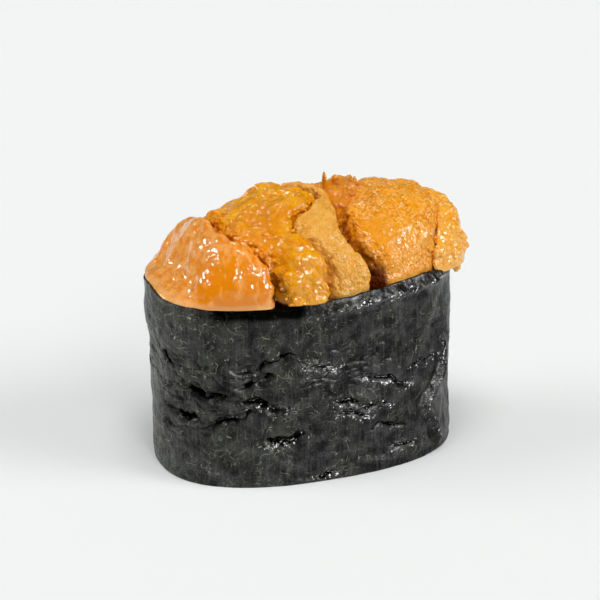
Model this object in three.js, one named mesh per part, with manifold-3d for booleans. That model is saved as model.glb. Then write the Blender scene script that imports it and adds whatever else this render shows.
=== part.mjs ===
// A sea urchin gunkan sushi, in millimetres, +Z up, standing on z = 0.
// A block of pressed rice is wrapped in an oval band of nori. Six lobes of sea urchin are heaped
// on the rice, inside the rim of the band and over it at both ends.
import * as THREE from "three";
import { mergeVertices } from "three/addons/utils/BufferGeometryUtils.js";
import Module from "manifold-3d";

const wasm = await Module();
wasm.setup();

// ---- Driving dimensions ----
const BAND_HEIGHT = 32; // a sixth of a 190 mm sheet
const BAND_THICKNESS = 0.6;
const GAP = 0.3; // free space between neighbouring pieces
const BASE = { length: 25.5, width: 15.8, power: 2.4, x: 0 }; // half sizes of the oval at the foot
const RIM = { length: 26.1, width: 15.6, power: 2.25, x: -0.8 }; // and at the rim, where it flares
const RICE_TOP = 24;
const RICE_GRAIN = { length: 3.3, width: 1.5, height: 1.3 }; // half sizes of a cooked grain
const ORIGIN_SHIFT = -0.9; // puts the origin under the middle of the whole, overhangs included

// ---- Small helpers ----
const mix = (a, b, t) => a + (b - a) * t;
const clamp01 = (t) => Math.min(1, Math.max(0, t));
const smooth = (t) => clamp01(t) ** 2 * (3 - 2 * clamp01(t));

// A smooth curve through [position, value] knots, held level past its ends.
function curve(knots) {
  return (at) => {
    const t = Math.min(Math.max(at, knots[0][0]), knots.at(-1)[0]);
    let i = 0;
    while (i < knots.length - 2 && t > knots[i + 1][0]) i++;
    const slope = (j) => {
      const lo = Math.max(0, j - 1);
      const hi = Math.min(knots.length - 1, j + 1);
      return (knots[hi][1] - knots[lo][1]) / (knots[hi][0] - knots[lo][0]);
    };
    const [t0, v0] = knots[i];
    const [t1, v1] = knots[i + 1];
    const span = t1 - t0;
    const u = (t - t0) / span;
    const rest = slope(i) * span * u * (1 - u) ** 2 - slope(i + 1) * span * u ** 2 * (1 - u);
    return mix(v0, v1, u * u * (3 - 2 * u)) + rest;
  };
}

// A closed grid of points as an indexed geometry: ring i, place j, both wrapping where asked.
function gridGeometry(rows, columns, point, capped) {
  const positions = [];
  for (let i = 0; i < rows; i++) for (let j = 0; j < columns; j++) positions.push(...point(i, j));
  const index = [];
  const rowSteps = capped ? rows - 1 : rows;
  for (let i = 0; i < rowSteps; i++) {
    for (let j = 0; j < columns; j++) {
      const a = i * columns + j;
      const b = i * columns + ((j + 1) % columns);
      const c = ((i + 1) % rows) * columns + j;
      const d = ((i + 1) % rows) * columns + ((j + 1) % columns);
      index.push(a, b, d, a, d, c);
    }
  }
  const geometry = new THREE.BufferGeometry();
  geometry.setAttribute("position", new THREE.Float32BufferAttribute(positions, 3));
  geometry.setIndex(index);
  return geometry;
}

// ---- Solids and back ----
function solidOf(geometry) {
  const bare = geometry.clone();
  for (const name of ["normal", "uv"]) bare.deleteAttribute(name);
  const merged = mergeVertices(bare, 1e-3);
  return new wasm.Manifold(
    new wasm.Mesh({
      numProp: 3,
      vertProperties: merged.attributes.position.array,
      triVerts: new Uint32Array(merged.index.array),
    }),
  );
}

function geometryOf(solid) {
  const mesh = solid.getMesh();
  const geometry = new THREE.BufferGeometry();
  const positions = new Float32Array(mesh.vertProperties);
  geometry.setAttribute("position", new THREE.BufferAttribute(positions, 3));
  geometry.setIndex(new THREE.BufferAttribute(new Uint32Array(mesh.triVerts), 1));
  geometry.computeVertexNormals();
  return geometry;
}

// ---- The oval of the band at a height, grown by an offset ----
function ovalAt(z, offset = 0) {
  const t = clamp01(z / BAND_HEIGHT);
  return {
    length: mix(BASE.length, RIM.length, t ** 3) + offset,
    width: mix(BASE.width, RIM.width, t) + offset,
    power: mix(BASE.power, RIM.power, t),
    x: mix(BASE.x, RIM.x, t ** 3),
  };
}

function ovalPoint(oval, angle) {
  const c = Math.cos(angle);
  const s = Math.sin(angle);
  return [
    oval.x + oval.length * Math.sign(c) * Math.abs(c) ** (2 / oval.power),
    oval.width * Math.sign(s) * Math.abs(s) ** (2 / oval.power),
  ];
}

// Low swells of the damp sheet, in mm, level at the foot: rows of grains press it out, and it
// sinks in between them. One deeper pleat runs up the right end.
const LEVEL_FOOT = 5; // height by which the swells are at full depth
const BROAD_SWELL = { depth: 0.32, around: 5, up: 0.21 };
const CROSS_SWELL = { around: 2, up: 0.19, start: 0.6 };
const FINE_SWELL = { depth: 0.19, around: 11, up: 0.3, start: 1.1 };
const PLEAT = { angle: -0.42, z: 12, spreadAngle: 0.16, spreadZ: 7, depth: 0.9 };
function bandRelief(angle, z) {
  const broad = Math.sin(BROAD_SWELL.around * angle + BROAD_SWELL.up * z);
  const cross = Math.cos(CROSS_SWELL.up * z - CROSS_SWELL.around * angle + CROSS_SWELL.start);
  const fine = Math.sin(FINE_SWELL.around * angle - FINE_SWELL.up * z + FINE_SWELL.start);
  const wrapped = Math.atan2(Math.sin(angle - PLEAT.angle), Math.cos(angle - PLEAT.angle));
  const away = (wrapped / PLEAT.spreadAngle) ** 2 + ((z - PLEAT.z) / PLEAT.spreadZ) ** 2;
  const relief = BROAD_SWELL.depth * broad * cross + FINE_SWELL.depth * fine - PLEAT.depth * Math.exp(-away);
  return smooth(z / LEVEL_FOOT) * relief;
}

// ---- The nori band: a thin wall carried round the oval ----
const BAND_AROUND = 72;
const BAND_UP = 8;
function bandGeometry(grow = 0) {
  const levels = BAND_UP + 1;
  const point = (i, j) => {
    const angle = (2 * Math.PI * i) / BAND_AROUND;
    const outside = j >= levels;
    const level = outside ? 2 * levels - 1 - j : j;
    const z = (BAND_HEIGHT * level) / BAND_UP;
    const depth = outside ? grow : -BAND_THICKNESS - grow;
    const reach = level === BAND_UP ? grow : level === 0 ? -grow : 0;
    const [x, y] = ovalPoint(ovalAt(z, bandRelief(angle, z) + depth), angle);
    return [x, y, z + reach];
  };
  return gridGeometry(BAND_AROUND, 2 * levels, point, false);
}

// ---- The rice: a pressed block with the grains of its underside standing out ----
const RICE_AROUND = 36;
const RICE_INSET = BAND_THICKNESS + GAP + 0.9; // clear of the swells of the band
const GRAIN_PITCH = { x: 5.4, y: 3.1 };
const GRAIN_CENTRE = { z: 1.1, rise: 0.25 }; // a grain's middle lies this high, give or take
const GRAIN_TILT = 0.2;
const GRAIN_REACH = 0.86; // how far out on the oval a grain may lie
const CORE_FLOOR = 1.1;

// The same seeded draw each time, from 0 to 1.
function randomFrom(seed) {
  let state = seed;
  return () => {
    state = (state * 1664525 + 1013904223) % 4294967296;
    return state / 4294967296;
  };
}

function blockGeometry(low, high, offset) {
  const rings = [0, 1, 1, 0];
  const point = (i, j) => {
    const z = i < 2 ? low : high;
    const oval = ovalAt(z, offset);
    const [x, y] = ovalPoint(oval, (2 * Math.PI * j) / RICE_AROUND);
    return [mix(oval.x, x, rings[i]), mix(0, y, rings[i]), z];
  };
  return gridGeometry(4, RICE_AROUND, point, true);
}

function riceSolid() {
  const random = randomFrom(7);
  const inside = solidOf(blockGeometry(0, RICE_TOP, -RICE_INSET));
  let solid = solidOf(blockGeometry(CORE_FLOOR, RICE_TOP, -RICE_INSET));
  const grain = new THREE.SphereGeometry(1, 6, 3);
  const place = new THREE.Object3D();
  const { length, width } = BASE;
  const spread = () => random() - 0.5;
  const rows = Math.floor((2 * width) / GRAIN_PITCH.y);
  for (let row = 0; row < rows; row++) {
    const y = (row + 0.5 - rows / 2) * GRAIN_PITCH.y;
    for (let x = -length + (row % 2) * 0.5 * GRAIN_PITCH.x; x < length; x += GRAIN_PITCH.x) {
      const reach = (Math.abs(x) / length) ** BASE.power + (Math.abs(y) / width) ** BASE.power;
      place.position.set(x + spread(), y + spread(), GRAIN_CENTRE.z + GRAIN_CENTRE.rise * random());
      place.rotation.set(GRAIN_TILT * spread(), GRAIN_TILT * spread(), Math.PI * random());
      if (reach > GRAIN_REACH) continue;
      place.scale.set(RICE_GRAIN.length, RICE_GRAIN.width, RICE_GRAIN.height);
      place.updateMatrix();
      solid = solid.add(solidOf(grain.clone().applyMatrix4(place.matrix)));
    }
  }
  return solid.intersect(inside);
}

// ---- The sea urchin ----
// Places on the heap are told by `along`, from -1 at the left end of the oval to 1 at the right,
// and `across`, from -1 at the front rim to 1 at the back rim.
const WAIST = 33; // height at which a lobe is widest, just over the rim
const LOBE_FLOOR = RICE_TOP + GAP;
const FRONT_TO_BACK_POWER = 2.3; // roundness of a lobe seen from its side
const SIDE_POWER = 4.5; // how squarely it meets the next lobe
const END_POWER = 2; // and how roundly its top falls at the ends of the heap
const LOBE_AROUND = 28;
const LOBE_ALONG = 13;
const CLEFT_HALF_GAP = 0.3;
const LOBE_INSET = BAND_THICKNESS + GAP + 0.8; // of the part of a lobe that is down in the band
const RIM_ROUNDING = 1.2; // height over which a lobe spreads out above the rim

// The clefts between lobes: \`along\` for each \`across\`.
const CLEFT = {
  leftEnd: curve([[-1, -0.93], [1, -0.93]]),
  leftMiddle: curve([[-1, -0.26], [-0.6, -0.38], [-0.1, -0.6], [0.3, -0.68], [1, -0.7]]),
  middleFold: curve([[-1, 0.08], [-0.6, 0.03], [-0.2, -0.05], [0, 0.04], [0.3, 0.04], [1, -0.14]]),
  foldRight: curve([[-1, 0.37], [-0.5, 0.29], [-0.1, 0.25], [0.05, 0.21], [0.3, 0.13], [1, 0.02]]),
  backRight: curve([[-1, 0.37], [-0.5, 0.29], [-0.1, 0.26], [0.05, 0.3], [0.3, 0.4], [1, 0.48]]),
  rightTail: curve([[-1, 0.88], [-0.3, 0.86], [0.2, 0.84], [1, 0.74]]),
  rightEnd: curve([[-1, 0.93], [1, 0.93]]),
};

// Each lobe lies between two clefts. \`crest\` is its height along x, and \`over\` is how far it
// spreads past the rim of the band at the ends, less than 0 at the left end, and at the sides.
// \`skew\` moves the crest to the front.
const LOBES = [
  {
    name: "uni_left",
    from: "leftEnd",
    to: "leftMiddle",
    crest: curve([[-28, 33.8], [-25, 35.4], [-22, 38.4], [-19, 41.2], [-15, 43.2], [-10, 42.8], [-6, 41]]),
    skew: 0.15,
    over: { length: -1.6, width: 0.7 },
    colour: 0xe39a4c,
  },
  {
    name: "uni_middle",
    from: "leftMiddle",
    to: "middleFold",
    crest: curve([[-20, 41], [-15, 41.6], [-10, 42.6], [-5, 45.3], [0, 45.4], [4, 44]]),
    over: { length: 0, width: 0.1 },
    colour: 0xe0921a,
  },
  {
    name: "uni_fold",
    from: "middleFold",
    to: "foldRight",
    crest: curve([[-4, 42], [0, 42], [4, 42.4], [10, 42]]),
    over: { length: 0, width: 0.1 },
    colour: 0xd2913d,
  },
  {
    name: "uni_back",
    from: "foldRight",
    to: "backRight",
    front: 0.04,
    crest: curve([[0, 42.4], [6, 42.6], [12, 43]]),
    over: { length: 0, width: 0.1 },
    colour: 0xd48827,
  },
  {
    name: "uni_right",
    from: "backRight",
    to: "rightTail",
    crest: curve([[6, 42.6], [9, 43.6], [13, 44.6], [17, 44.6], [20, 44.2], [24, 42]]),
    over: { length: 0, width: 0.1 },
    colour: 0xeb9d3a,
  },
  {
    name: "uni_tail",
    from: "rightTail",
    to: "rightEnd",
    crest: curve([[20, 42], [24, 42.2], [27, 41.4], [29, 40]]),
    over: { length: 5, width: 0.6 },
    colour: 0xf0a548,
  },
];

// Swells of a lobe's skin, in mm, that grow from the waist up and die out at the clefts.
const BROAD_LUMP = 0.45;
const FINE_LUMP = 0.3;
const LUMP_RISE = 3;
function lumps(x, y, z, a) {
  const broad = Math.sin(0.55 * x + 0.4 * z + 0.7) * Math.sin(0.5 * y - 0.3 * z);
  const fine = Math.sin(1.1 * x - 0.7 * y + 0.8 * z);
  return smooth((z - WAIST) / LUMP_RISE) * (1 - Math.abs(a) ** 6) * (BROAD_LUMP * broad + FINE_LUMP * fine);
}

// A direction is put on a block with round edges, from -1 to 1 along \`a\`, \`b\` and \`c\`, and the block
// is laid between the lobe's two clefts: \`a\` runs along, \`b\` across and \`c\` up from the waist.
function lobeGeometry(lobe) {
  const from = CLEFT[lobe.from];
  const to = CLEFT[lobe.to];
  const point = (i, j) => {
    const polar = (Math.PI * i) / LOBE_ALONG;
    const round = (2 * Math.PI * j) / LOBE_AROUND;
    const d = [-Math.cos(polar), Math.sin(polar) * Math.cos(round), Math.sin(polar) * Math.sin(round)];
    const q = FRONT_TO_BACK_POWER;
    const profile = Math.abs(d[1]) ** q + Math.abs(d[2]) ** q;
    const atEnd = d[0] < 0 ? lobe.from === "leftEnd" : lobe.to === "rightEnd";
    const upright = Math.abs(d[2]) / Math.hypot(d[1], d[2], 1e-9);
    const p = atEnd ? mix(SIDE_POWER, END_POWER, upright) : SIDE_POWER;
    const size = (profile ** (p / q) + Math.abs(d[0]) ** p) ** (1 / p);
    const [a, b, c] = d.map((v) => v / size);
    const skewed = b - (lobe.skew ?? 0) * (1 - b * b);
    const across = mix(lobe.front ?? -1, 1, (skewed + 1) / 2);
    const halfGap = CLEFT_HALF_GAP / RIM.length;
    const along = mix(from(across) + halfGap, to(across) - halfGap, (a + 1) / 2);
    const overhang = lobe.over.length * (lobe.over.length < 0 ? (1 - a) / 2 : (1 + a) / 2);
    const top = lobe.crest(RIM.x + RIM.length * along + overhang);
    const z = c > 0 ? mix(WAIST, top, c) : mix(WAIST, LOBE_FLOOR, -c);
    const spread = smooth((z - BAND_HEIGHT - GAP) / RIM_ROUNDING);
    const plain = ovalAt(Math.min(z, BAND_HEIGHT));
    const length = plain.length + mix(-LOBE_INSET, 0, spread);
    const width = plain.width + mix(-LOBE_INSET, lobe.over.width, spread);
    const x = plain.x + length * along + overhang * spread;
    const y = width * across * (1 - Math.abs(along) ** plain.power) ** (1 / plain.power);
    const swell = lumps(x, y, z, a);
    return [x, y + swell * b, z + swell * c];
  };
  return gridGeometry(LOBE_ALONG + 1, LOBE_AROUND, point, true);
}

// The drop of roe that hangs over the right end, outside the band.
const DROP = { x: 27.1, y: -2.5, z: 31.4, length: 1.6, width: 2.4, height: 3.2, segments: 10 };

function tailSolid(lobe) {
  const drop = new THREE.SphereGeometry(1, DROP.segments, DROP.segments);
  drop.scale(DROP.length, DROP.width, DROP.height);
  drop.translate(DROP.x, DROP.y, DROP.z);
  const whole = solidOf(lobeGeometry(lobe)).add(solidOf(drop));
  return whole.subtract(solidOf(bandGeometry(GAP)));
}

// ---- The whole ----
const group = new THREE.Group();
group.position.x = ORIGIN_SHIFT;

function addPiece(name, geometry, colour, roughness) {
  const material = new THREE.MeshStandardMaterial({ color: colour, roughness, metalness: 0 });
  const mesh = new THREE.Mesh(geometry, material);
  mesh.name = name;
  group.add(mesh);
}

addPiece("nori_band", bandGeometry(), 0x23251f, 0.45);
addPiece("rice_bed", geometryOf(riceSolid()), 0xeeece2, 0.5);
for (const lobe of LOBES) {
  const geometry = lobe.name === "uni_tail" ? geometryOf(tailSolid(lobe)) : lobeGeometry(lobe);
  addPiece(lobe.name, geometry, lobe.colour, 0.35);
}

export default group;
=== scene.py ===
# %% [markdown]
# # Sea urchin gunkan sushi
# A gunkan is a block of pressed rice with a strip of nori wrapped round it on edge, so that the
# nori stands above the rice as a wall. The space inside the wall is heaped with lobes of sea
# urchin roe. The lesson builds the nori, the rice and the roe as surfaces worked out with numpy,
# and gives each one a material that starts from what the food really is.

import bpy
import numpy as np
from mathutils import Matrix, Vector


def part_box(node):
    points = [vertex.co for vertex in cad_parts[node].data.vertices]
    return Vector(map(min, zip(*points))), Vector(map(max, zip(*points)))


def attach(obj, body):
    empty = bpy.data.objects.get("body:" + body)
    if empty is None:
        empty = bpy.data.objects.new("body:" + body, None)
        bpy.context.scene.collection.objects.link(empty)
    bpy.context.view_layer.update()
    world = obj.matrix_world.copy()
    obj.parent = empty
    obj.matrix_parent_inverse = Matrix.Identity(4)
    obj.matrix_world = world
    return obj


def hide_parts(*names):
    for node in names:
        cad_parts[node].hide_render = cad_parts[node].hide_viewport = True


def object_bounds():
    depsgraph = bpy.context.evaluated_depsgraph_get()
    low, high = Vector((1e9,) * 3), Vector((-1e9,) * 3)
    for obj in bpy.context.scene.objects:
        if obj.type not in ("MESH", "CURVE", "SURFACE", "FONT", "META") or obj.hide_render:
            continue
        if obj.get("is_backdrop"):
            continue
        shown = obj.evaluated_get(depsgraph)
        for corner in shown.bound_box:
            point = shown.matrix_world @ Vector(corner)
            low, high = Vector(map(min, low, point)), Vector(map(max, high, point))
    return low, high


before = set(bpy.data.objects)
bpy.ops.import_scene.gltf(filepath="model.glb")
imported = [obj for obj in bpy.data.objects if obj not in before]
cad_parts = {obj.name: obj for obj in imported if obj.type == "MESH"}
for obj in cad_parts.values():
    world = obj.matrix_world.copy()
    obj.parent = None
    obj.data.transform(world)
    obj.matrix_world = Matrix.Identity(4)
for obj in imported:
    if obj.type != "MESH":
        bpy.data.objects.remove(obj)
cad_low, cad_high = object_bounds()
print("nodes:", sorted(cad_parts))

# %% [markdown]
# ## Units and small helpers
# All shapes are worked out in millimetres, because food sizes are easy to picture that way, and
# one constant turns them into Blender's metres. A smooth step and a curve through a few knots
# are enough to describe how a soft shape swells and falls.

# %% Units and curves
MM = 0.001


def smooth(t):
    """A step from 0 to 1 with level ends: 3 t^2 - 2 t^3."""
    t = np.clip(t, 0, 1)
    return t * t * (3 - 2 * t)


def mix(low, high, share):
    """The value that lies a share of the way from low to high."""
    return low + (high - low) * share


def curve(knots):
    """A smooth curve through [position, value] knots, held level past its ends.

    Between two knots it is the cubic that has, at each of them, the slope of the chord between
    that knot's neighbours."""
    at, value = np.array(knots, float).T
    last = len(at) - 1
    before = np.maximum(np.arange(last + 1) - 1, 0)
    after = np.minimum(np.arange(last + 1) + 1, last)
    slope = (value[after] - value[before]) / (at[after] - at[before])

    def height(position):
        t = np.clip(position, at[0], at[-1])
        i = np.clip(np.searchsorted(at, t, side="right") - 1, 0, last - 1)
        span = at[i + 1] - at[i]
        u = (t - at[i]) / span
        bend = slope[i] * span * u * (1 - u) ** 2 - slope[i + 1] * span * u**2 * (1 - u)
        return mix(value[i], value[i + 1], u * u * (3 - 2 * u)) + bend

    return height


# %% [markdown]
# ## Noise for real relief
# Roe is a mass of grains, and nori is a crumpled felt of seaweed. Both need relief in the mesh
# itself. Two kinds of noise do it: a lattice noise, which gives soft random swells, and a cell
# noise, which measures how far each point is from the nearest of many scattered grains.

# %% Lattice noise and cell noise
PRIMES = np.array([73856093, 19349663, 83492791], np.uint64)


def scramble(cells, seed):
    """A repeatable number from 0 to 1 for each whole-numbered cell."""
    mixed = (cells.astype(np.int64).astype(np.uint64) * PRIMES).astype(np.uint32)
    h = mixed[..., 0] ^ mixed[..., 1] ^ mixed[..., 2] ^ np.uint32((seed * 2654435761) % 2**32)
    h = (h ^ (h >> np.uint32(15))) * np.uint32(2246822519)
    h = (h ^ (h >> np.uint32(13))) * np.uint32(3266489917)
    return (h ^ (h >> np.uint32(16))) / 2.0**32


CORNERS = np.array([(i, j, k) for i in (0, 1) for j in (0, 1) for k in (0, 1)])
NEIGHBOURS = np.array([(i, j, k) for i in (-1, 0, 1) for j in (-1, 0, 1) for k in (-1, 0, 1)])


def swells(points, size, seed, octaves=1):
    """Random swells from -1 to 1, about `size` across, each further octave half as wide and deep.

    The value at a point is the smooth blend of random numbers at the 8 corners of its cell."""
    total = 0.0
    for octave in range(octaves):
        p = points / size * 2**octave
        cell = np.floor(p)
        share = smooth(p - cell)
        value = 0.0
        for corner in CORNERS:
            weight = np.prod(np.where(corner, share, 1 - share), axis=-1)
            value = value + weight * scramble(cell + corner, seed + octave)
        total = total + (2 * value - 1) / 2**octave
    return total


def grains(points, size, seed):
    """Height from 0 to 1 of rounded grains scattered `size` apart.

    Each cell holds one grain at a random place, of a radius of 0.55 to 1 cell. The height is 1
    minus the square of the distance to the nearest one, over its radius: domes of mixed sizes."""
    p = points / size
    cell = np.floor(p)
    nearest = np.full(p.shape[:-1], 9.0)
    for step in NEIGHBOURS:
        near = cell + step
        centre = near + np.stack([scramble(near, seed + n) for n in range(3)], axis=-1)
        radius = 0.55 + 0.45 * scramble(near, seed + 3)
        nearest = np.minimum(nearest, np.sum((centre - p) ** 2, axis=-1) / radius**2)
    return np.clip(1 - nearest, 0, 1)


print("a cell has", len(CORNERS), "corners and", len(NEIGHBOURS) - 1, "neighbours")

# %% [markdown]
# ## From arrays to a mesh
# Every piece here is a stack of closed rings with a point at each end, like a sock: a lobe of
# roe, a grain of rice, and even the strip of nori, whose rings are the thin outline of the sheet.
# The rings become quads and each end becomes a fan, so no seam or pole is left open.

# %% Mesh helpers
def skin_faces(rows, columns):
    """Corner numbers of the quads between rings and of the two fans at the ends."""
    ring = 1 + np.arange(rows * columns).reshape(rows, columns)
    beside = np.roll(ring, -1, axis=1)
    quads = np.stack([ring[:-1], beside[:-1], beside[1:], ring[1:]], axis=-1).reshape(-1, 4)
    first = np.zeros(columns, int)
    last = np.full(columns, 1 + rows * columns)
    fans = np.concatenate(
        [
            np.stack([first, beside[0], ring[0]], axis=-1),
            np.stack([last, ring[-1], beside[-1]], axis=-1),
        ]
    )
    return quads, fans


def volume(vertices, triangles):
    """Signed volume: the sum of the small pyramids from the origin to each triangle."""
    a, b, c = (vertices[triangles[:, k]] for k in range(3))
    return np.sum(np.cross(a, b) * c) / 6


def outward(vertices, quads, fans):
    """Turns every face round where the skin's signed volume says that it is inside out."""
    triangles = np.concatenate([quads[:, [0, 1, 2]], quads[:, [0, 2, 3]], fans])
    if volume(vertices, triangles) < 0:
        return quads[:, ::-1], fans[:, ::-1]
    return quads, fans


def add_piece(name, vertices, quads, fans, material, values=None):
    """A smooth mesh object from arrays in millimetres, with named numbers for its material."""
    mesh = bpy.data.meshes.new(name)
    mesh.vertices.add(len(vertices))
    mesh.vertices.foreach_set("co", (vertices * MM).astype(np.float32).ravel())
    mesh.loops.add(quads.size + fans.size)
    mesh.loops.foreach_set("vertex_index", np.concatenate([quads.ravel(), fans.ravel()]))
    mesh.polygons.add(len(quads) + len(fans))
    starts = np.arange(len(quads)) * 4
    starts = np.concatenate([starts, quads.size + np.arange(len(fans)) * 3])
    mesh.polygons.foreach_set("loop_start", starts)
    mesh.update(calc_edges=True)
    mesh.shade_smooth()
    for label, value in (values or {}).items():
        attribute = mesh.attributes.new(label, "FLOAT", "POINT")
        attribute.data.foreach_set("value", value.astype(np.float32).ravel())
    mesh.materials.append(material)
    piece = bpy.data.objects.new(name, mesh)
    bpy.context.scene.collection.objects.link(piece)
    print(f"{name}: {2 * len(quads) + len(fans)} triangles")
    return piece


def with_ends(rings, first, last):
    """The vertices of a skin: its first end point, its rings and its last end point."""
    return np.concatenate([[first], rings.reshape(-1, 3), [last]])


# %% [markdown]
# ## Small helpers for materials
# A material is a chain of nodes. Three short functions keep each one readable: one turns a colour
# as a designer writes it into the linear light that a renderer adds up, one starts a material, and
# one adds a node with its settings and everything that flows into it.

# %% Material helpers
def hex_colour(code):
    """Linear RGBA from an sRGB hex value such as "E39A4C"."""
    srgb = np.array([int(code[k : k + 2], 16) for k in (0, 2, 4)]) / 255
    linear = np.where(srgb <= 0.04045, srgb / 12.92, ((srgb + 0.055) / 1.055) ** 2.4)
    return (*linear, 1.0)


def new_material(name):
    """A material, its node tree and the shader that the tree starts with."""
    material = bpy.data.materials.new(name)
    material.use_nodes = True
    tree = material.node_tree
    return material, tree, tree.nodes["Principled BSDF"]


def set_inputs(tree, node, inputs):
    """Sets or links inputs, each named or numbered: a plain value, or another node's output."""
    for key, value in inputs.items():
        if isinstance(value, bpy.types.NodeSocket):
            tree.links.new(value, node.inputs[key])
        else:
            node.inputs[key].default_value = value


def add_node(tree, kind, settings=None, inputs=None):
    """Adds a node, sets its properties, and sets or links its inputs."""
    node = tree.nodes.new(kind)
    for key, value in (settings or {}).items():
        setattr(node, key, value)
    set_inputs(tree, node, inputs or {})
    return node


# %% [markdown]
# ## The camera
# The sushi is seen with its left end nearer, from well above the rim, through a long lens. The
# camera aims past the middle of the band so that the frame needs no shift.

# %% Camera
HEAP_SHIFT = -0.9  # x of the middle of the band's foot: the origin is under the whole's middle
CAMERA_AZIMUTH = -20.0
CAMERA_ELEVATION = 24.5
CAMERA_DISTANCE = 489.4
CAMERA_TARGET = np.array([HEAP_SHIFT, 0.0, 16.0])
IMAGE_SIZE = 600
FOCAL_PIXELS = 2915
TARGET_PIXEL = (302.6, 354.0)  # where the target lies in the image
SENSOR = 36.0


def camera_axes(azimuth, elevation):
    """Unit vectors to the camera's right, up and back."""
    a, e = np.radians([azimuth, elevation])
    back = np.array([np.sin(a) * np.cos(e), -np.cos(a) * np.cos(e), np.sin(e)])
    right = np.array([np.cos(a), np.sin(a), 0.0])
    return right, np.cross(back, right), back


right, up, back = camera_axes(CAMERA_AZIMUTH, CAMERA_ELEVATION)
middle = IMAGE_SIZE / 2
aim = (
    -back
    + (TARGET_PIXEL[1] - middle) / FOCAL_PIXELS * up
    - (TARGET_PIXEL[0] - middle) / FOCAL_PIXELS * right
)
camera_data = bpy.data.cameras.new("camera")
camera_data.sensor_width = SENSOR
camera_data.lens = SENSOR * FOCAL_PIXELS / IMAGE_SIZE
camera_data.clip_end = 20
camera = bpy.data.objects.new("camera", camera_data)
bpy.context.scene.collection.objects.link(camera)
eye = Vector((CAMERA_TARGET + back * CAMERA_DISTANCE) * MM)
facing = Vector(aim).to_track_quat("-Z", "Y").to_matrix().to_4x4()
camera.matrix_world = Matrix.Translation(eye) @ facing
bpy.context.scene.camera = camera
bpy.context.scene.view_settings.view_transform = "Standard"
print("lens", round(camera_data.lens, 1), "mm")

# %% [markdown]
# ## Patterns for the finishes
# Real surfaces vary over millimetres, so most numbers in these materials are drawn from a noise
# and then fitted to a range. Each helper stands for one such step and gives back its output, so
# that a finish reads as a sum: this noise, in that range, times that one.

# %% Pattern helpers
def object_place(tree):
    """The place on the piece, in metres from the origin that all pieces share."""
    return add_node(tree, "ShaderNodeTexCoord").outputs["Object"]


def share_of(tree, value, low, high, start=0.0, end=1.0):
    """A value's place between two limits, as a number from start to end."""
    inputs = {"Value": value, "From Min": low, "From Max": high, "To Min": start, "To Max": end}
    return add_node(tree, "ShaderNodeMapRange", inputs=inputs).outputs["Result"]


def calculate(tree, operation, first, second):
    """One step of arithmetic on two numbers."""
    return add_node(tree, "ShaderNodeMath", {"operation": operation}, {0: first, 1: second}).outputs[0]


def calculate_vector(tree, operation, *vectors):
    """One step of arithmetic on vectors, whose result is a vector or, for a dot product, a number."""
    node = add_node(tree, "ShaderNodeVectorMath", {"operation": operation}, dict(enumerate(vectors)))
    return node.outputs["Value" if operation == "DOT_PRODUCT" else "Vector"]


def noise(tree, place, size, detail=2):
    """Noise from 0 to 1 whose swells are about `size` metres across."""
    inputs = {"Vector": place, "Scale": 1 / size, "Detail": detail}
    return add_node(tree, "ShaderNodeTexNoise", inputs=inputs).outputs["Fac"]


def bumped(tree, height, strength, distance, normal=None, invert=False):
    """A normal tipped by a height that is `distance` metres deep, over another normal if given."""
    inputs = {"Height": height, "Strength": strength, "Distance": distance}
    if normal is not None:
        inputs["Normal"] = normal
    return add_node(tree, "ShaderNodeBump", {"invert": invert}, inputs).outputs["Normal"]


# %% [markdown]
# ## The floor
# The set is a white table of painted board. Its paint was rolled on, which leaves a fine, shallow
# grain. It is flat paint, so the table mirrors next to nothing and takes soft, even shadows.

# %% Floor
FLOOR_SIZE = 4.0
FLOOR_COLOUR = "F4F6F5"
ROLLER_GRAIN = 2.5 * MM
ROLLER_DEPTH = 0.1 * MM


def floor_material():
    """Painted board, rolled: flat white with a trace of roller grain."""
    material, tree, shader = new_material("painted white board")
    grain = noise(tree, object_place(tree), ROLLER_GRAIN)
    finish = {
        "Base Color": hex_colour(FLOOR_COLOUR),
        "Roughness": 0.9,
        "Specular IOR Level": 0.1,
        "Normal": bumped(tree, grain, 0.05, ROLLER_DEPTH),
    }
    set_inputs(tree, shader, finish)
    return material


floor_mesh = bpy.data.meshes.new("floor")
half = FLOOR_SIZE / 2
floor_mesh.from_pydata(
    [(-half, -half, 0), (half, -half, 0), (half, half, 0), (-half, half, 0)], [], [(0, 1, 2, 3)]
)
floor_mesh.materials.append(floor_material())
floor = bpy.data.objects.new("floor", floor_mesh)
bpy.context.scene.collection.objects.link(floor)
floor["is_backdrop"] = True
print("floor", FLOOR_SIZE, "m across")

# %% [markdown]
# ## The room
# The room is white behind the table and dark above and in front, so the light that it sends comes
# mostly from behind. It only lights. A wet, rough skin that mirrored a whole white room would lose
# its deep colour under a pale veil, so mirror rays are kept from seeing it.

# %% Room
WORLD_COLOUR = "F3F6F6"
ROOM_BRIGHT = 0.55
ROOM_DARK = 0.1
WALL_TOP = 0.1  # sine of the elevation up to which the wall is white
CEILING_HEIGHT = 0.5  # sine of the elevation where the ceiling is dark
BEHIND = (0.34, 0.94, 0.0)  # the white wall's direction

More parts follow.
